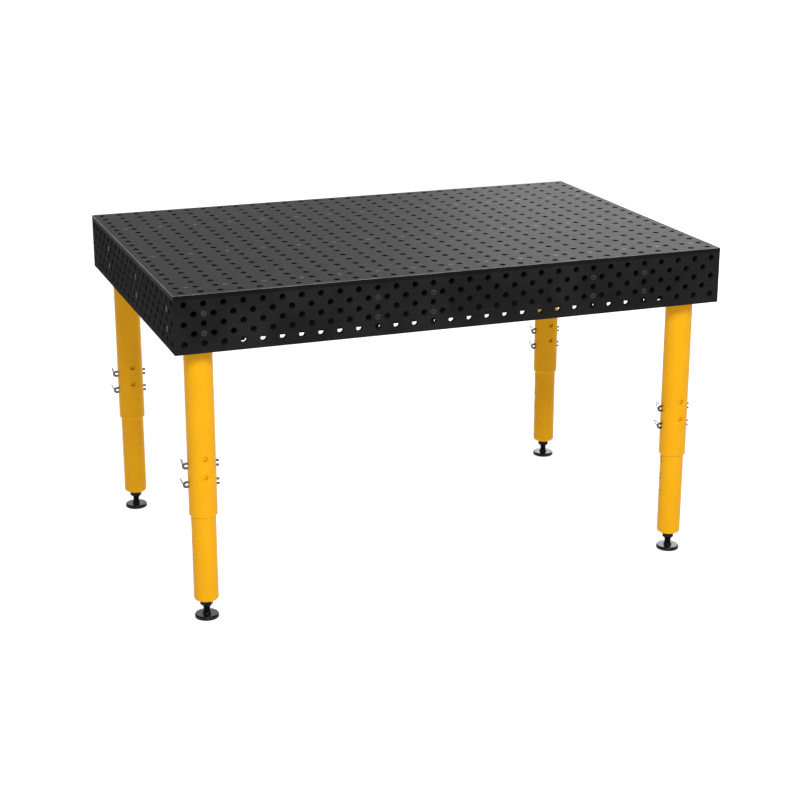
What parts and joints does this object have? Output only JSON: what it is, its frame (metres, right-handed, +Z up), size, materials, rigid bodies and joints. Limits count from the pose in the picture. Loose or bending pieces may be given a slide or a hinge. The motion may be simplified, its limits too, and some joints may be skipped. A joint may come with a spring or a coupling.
{
  "type": "welding table",
  "caption": "Steel welding table with a perforated top and a deep perforated skirt, on round telescopic legs set by U-shaped pins, with levelling feet.",
  "frame": {"origin": "on the floor, under the middle of the table top", "axes": "+X along the long side to the right seen from the front, -Y towards the front, +Z up"},
  "size_m": [1.5, 1, 0.885],
  "materials": {
    "black_steel": "satin black nitrided steel plate",
    "yellow_paint": "semi-gloss amber yellow powder coat",
    "screw_steel": "dark phosphated screw steel",
    "pin_steel": "zinc plated steel rod",
    "black_zinc": "black zinc plated thread and nut",
    "black_plastic": "glass filled black nylon"
  },
  "bodies": {
    "table": {"top_plate": "black_steel", "front_side_plate": "black_steel", "rear_side_plate": "black_steel", "left_side_plate": "black_steel", "right_side_plate": "black_steel", "cross_rib_1": "black_steel", "cross_rib_2": "black_steel", "cross_rib_3": "black_steel", "cross_rib_4": "black_steel", "cross_rib_5": "black_steel", "long_rib_front": "black_steel", "long_rib_middle": "black_steel", "long_rib_rear": "black_steel", "top_screws": "screw_steel", "side_screws": "screw_steel", "corner_pads": "black_steel", "leg_flanges": "black_steel", "flange_bolts": "screw_steel", "outer_tube_front_left": "yellow_paint", "outer_tube_front_right": "yellow_paint", "outer_tube_rear_left": "yellow_paint", "outer_tube_rear_right": "yellow_paint"},
    "leg_front_left": {"inner_tube_front_left": "yellow_paint", "end_cap_front_left": "yellow_paint"},
    "upper_pin_front_left": {"upper_pin_front_left": "pin_steel"},
    "upper_ring_front_left": {"upper_ring_front_left": "pin_steel"},
    "lower_pin_front_left": {"lower_pin_front_left": "pin_steel"},
    "lower_ring_front_left": {"lower_ring_front_left": "pin_steel"},
    "foot_pad_front_left": {"foot_pad_front_left": "black_plastic"},
    "foot_spindle_front_left": {"foot_spindle_front_left": "black_zinc"},
    "lock_nut_front_left": {"lock_nut_front_left": "black_zinc"},
    "leg_front_right": {"inner_tube_front_right": "yellow_paint", "end_cap_front_right": "yellow_paint"},
    "upper_pin_front_right": {"upper_pin_front_right": "pin_steel"},
    "upper_ring_front_right": {"upper_ring_front_right": "pin_steel"},
    "lower_pin_front_right": {"lower_pin_front_right": "pin_steel"},
    "lower_ring_front_right": {"lower_ring_front_right": "pin_steel"},
    "foot_pad_front_right": {"foot_pad_front_right": "black_plastic"},
    "foot_spindle_front_right": {"foot_spindle_front_right": "black_zinc"},
    "lock_nut_front_right": {"lock_nut_front_right": "black_zinc"},
    "leg_rear_left": {"inner_tube_rear_left": "yellow_paint", "end_cap_rear_left": "yellow_paint"},
    "upper_pin_rear_left": {"upper_pin_rear_left": "pin_steel"},
    "upper_ring_rear_left": {"upper_ring_rear_left": "pin_steel"},
    "lower_pin_rear_left": {"lower_pin_rear_left": "pin_steel"},
    "lower_ring_rear_left": {"lower_ring_rear_left": "pin_steel"},
    "foot_pad_rear_left": {"foot_pad_rear_left": "black_plastic"},
    "foot_spindle_rear_left": {"foot_spindle_rear_left": "black_zinc"},
    "lock_nut_rear_left": {"lock_nut_rear_left": "black_zinc"},
    "leg_rear_right": {"inner_tube_rear_right": "yellow_paint", "end_cap_rear_right": "yellow_paint"},
    "upper_pin_rear_right": {"upper_pin_rear_right": "pin_steel"},
    "upper_ring_rear_right": {"upper_ring_rear_right": "pin_steel"},
    "lower_pin_rear_right": {"lower_pin_rear_right": "pin_steel"},
    "lower_ring_rear_right": {"lower_ring_rear_right": "pin_steel"},
    "foot_pad_rear_right": {"foot_pad_rear_right": "black_plastic"},
    "foot_spindle_rear_right": {"foot_spindle_rear_right": "black_zinc"},
    "lock_nut_rear_right": {"lock_nut_rear_right": "black_zinc"}
  },
  "joints": [
    {"name": "leg_height_front_left", "type": "slide", "parent": "table", "child": "leg_front_left", "axis": [0, 0, -1], "range_m": [-0.2, 0.1]},
    {"name": "pull_upper_pin_front_left", "type": "slide", "parent": "table", "child": "upper_pin_front_left", "axis": [-1, 0, 0], "range_m": [0, 0.09]},
    {"name": "swing_upper_ring_front_left", "type": "hinge", "parent": "upper_pin_front_left", "child": "upper_ring_front_left", "pos_m": [-0.7235, -0.425, 0.421], "axis": [0, -1, 0], "range_deg": [-12, 168]},
    {"name": "pull_lower_pin_front_left", "type": "slide", "parent": "table", "child": "lower_pin_front_left", "axis": [-1, 0, 0], "range_m": [0, 0.09]},
    {"name": "swing_lower_ring_front_left", "type": "hinge", "parent": "lower_pin_front_left", "child": "lower_ring_front_left", "pos_m": [-0.7235, -0.425, 0.371], "axis": [0, -1, 0], "range_deg": [-25, 155]},
    {"name": "level_foot_front_left", "type": "slide", "parent": "leg_front_left", "child": "foot_pad_front_left", "axis": [0, 0, -1], "range_m": [-0.015, 0.035]},
    {"name": "turn_spindle_front_left", "type": "hinge", "parent": "foot_pad_front_left", "child": "foot_spindle_front_left", "pos_m": [-0.675, -0.425, 0.06], "axis": [0, 0, -1], "range_deg": [-2160, 5040]},
    {"name": "turn_lock_nut_front_left", "type": "hinge", "parent": "leg_front_left", "child": "lock_nut_front_left", "pos_m": [-0.675, -0.425, 0.042], "axis": [0, 0, -1], "range_deg": [0, 360]},
    {"name": "leg_height_front_right", "type": "slide", "parent": "table", "child": "leg_front_right", "axis": [0, 0, -1], "range_m": [-0.2, 0.1]},
    {"name": "pull_upper_pin_front_right", "type": "slide", "parent": "table", "child": "upper_pin_front_right", "axis": [-1, 0, 0], "range_m": [0, 0.09]},
    {"name": "swing_upper_ring_front_right", "type": "hinge", "parent": "upper_pin_front_right", "child": "upper_ring_front_right", "pos_m": [0.6265, -0.425, 0.421], "axis": [0, -1, 0], "range_deg": [-12, 168]},
    {"name": "pull_lower_pin_front_right", "type": "slide", "parent": "table", "child": "lower_pin_front_right", "axis": [-1, 0, 0], "range_m": [0, 0.09]},
    {"name": "swing_lower_ring_front_right", "type": "hinge", "parent": "lower_pin_front_right", "child": "lower_ring_front_right", "pos_m": [0.6265, -0.425, 0.371], "axis": [0, -1, 0], "range_deg": [-25, 155]},
    {"name": "level_foot_front_right", "type": "slide", "parent": "leg_front_right", "child": "foot_pad_front_right", "axis": [0, 0, -1], "range_m": [-0.015, 0.035]},
    {"name": "turn_spindle_front_right", "type": "hinge", "parent": "foot_pad_front_right", "child": "foot_spindle_front_right", "pos_m": [0.675, -0.425, 0.06], "axis": [0, 0, -1], "range_deg": [-2160, 5040]},
    {"name": "turn_lock_nut_front_right", "type": "hinge", "parent": "leg_front_right", "child": "lock_nut_front_right", "pos_m": [0.675, -0.425, 0.042], "axis": [0, 0, -1], "range_deg": [0, 360]},
    {"name": "leg_height_rear_left", "type": "slide", "parent": "table", "child": "leg_rear_left", "axis": [0, 0, -1], "range_m": [-0.2, 0.1]},
    {"name": "pull_upper_pin_rear_left", "type": "slide", "parent": "table", "child": "upper_pin_rear_left", "axis": [-1, 0, 0], "range_m": [0, 0.09]},
    {"name": "swing_upper_ring_rear_left", "type": "hinge", "parent": "upper_pin_rear_left", "child": "upper_ring_rear_left", "pos_m": [-0.7235, 0.425, 0.421], "axis": [0, -1, 0], "range_deg": [-12, 168]},
    {"name": "pull_lower_pin_rear_left", "type": "slide", "parent": "table", "child": "lower_pin_rear_left", "axis": [-1, 0, 0], "range_m": [0, 0.09]},
    {"name": "swing_lower_ring_rear_left", "type": "hinge", "parent": "lower_pin_rear_left", "child": "lower_ring_rear_left", "pos_m": [-0.7235, 0.425, 0.371], "axis": [0, -1, 0], "range_deg": [-25, 155]},
    {"name": "level_foot_rear_left", "type": "slide", "parent": "leg_rear_left", "child": "foot_pad_rear_left", "axis": [0, 0, -1], "range_m": [-0.015, 0.035]},
    {"name": "turn_spindle_rear_left", "type": "hinge", "parent": "foot_pad_rear_left", "child": "foot_spindle_rear_left", "pos_m": [-0.675, 0.425, 0.06], "axis": [0, 0, -1], "range_deg": [-2160, 5040]},
    {"name": "turn_lock_nut_rear_left", "type": "hinge", "parent": "leg_rear_left", "child": "lock_nut_rear_left", "pos_m": [-0.675, 0.425, 0.042], "axis": [0, 0, -1], "range_deg": [0, 360]},
    {"name": "leg_height_rear_right", "type": "slide", "parent": "table", "child": "leg_rear_right", "axis": [0, 0, -1], "range_m": [-0.2, 0.1]},
    {"name": "pull_upper_pin_rear_right", "type": "slide", "parent": "table", "child": "upper_pin_rear_right", "axis": [-1, 0, 0], "range_m": [0, 0.09]},
    {"name": "swing_upper_ring_rear_right", "type": "hinge", "parent": "upper_pin_rear_right", "child": "upper_ring_rear_right", "pos_m": [0.6265, 0.425, 0.421], "axis": [0, -1, 0], "range_deg": [-12, 168]},
    {"name": "pull_lower_pin_rear_right", "type": "slide", "parent": "table", "child": "lower_pin_rear_right", "axis": [-1, 0, 0], "range_m": [0, 0.09]},
    {"name": "swing_lower_ring_rear_right", "type": "hinge", "parent": "lower_pin_rear_right", "child": "lower_ring_rear_right", "pos_m": [0.6265, 0.425, 0.371], "axis": [0, -1, 0], "range_deg": [-25, 155]},
    {"name": "level_foot_rear_right", "type": "slide", "parent": "leg_rear_right", "child": "foot_pad_rear_right", "axis": [0, 0, -1], "range_m": [-0.015, 0.035]},
    {"name": "turn_spindle_rear_right", "type": "hinge", "parent": "foot_pad_rear_right", "child": "foot_spindle_rear_right", "pos_m": [0.675, 0.425, 0.06], "axis": [0, 0, -1], "range_deg": [-2160, 5040]},
    {"name": "turn_lock_nut_rear_right", "type": "hinge", "parent": "leg_rear_right", "child": "lock_nut_rear_right", "pos_m": [0.675, 0.425, 0.042], "axis": [0, 0, -1], "range_deg": [0, 360]}
  ],
  "couplings": [
    {"joint": "turn_spindle_front_left", "follows": "level_foot_front_left", "rad_per_m": 2513.3},
    {"joint": "turn_spindle_front_right", "follows": "level_foot_front_right", "rad_per_m": 2513.3},
    {"joint": "turn_spindle_rear_left", "follows": "level_foot_rear_left", "rad_per_m": 2513.3},
    {"joint": "turn_spindle_rear_right", "follows": "level_foot_rear_right", "rad_per_m": 2513.3}
  ]
}
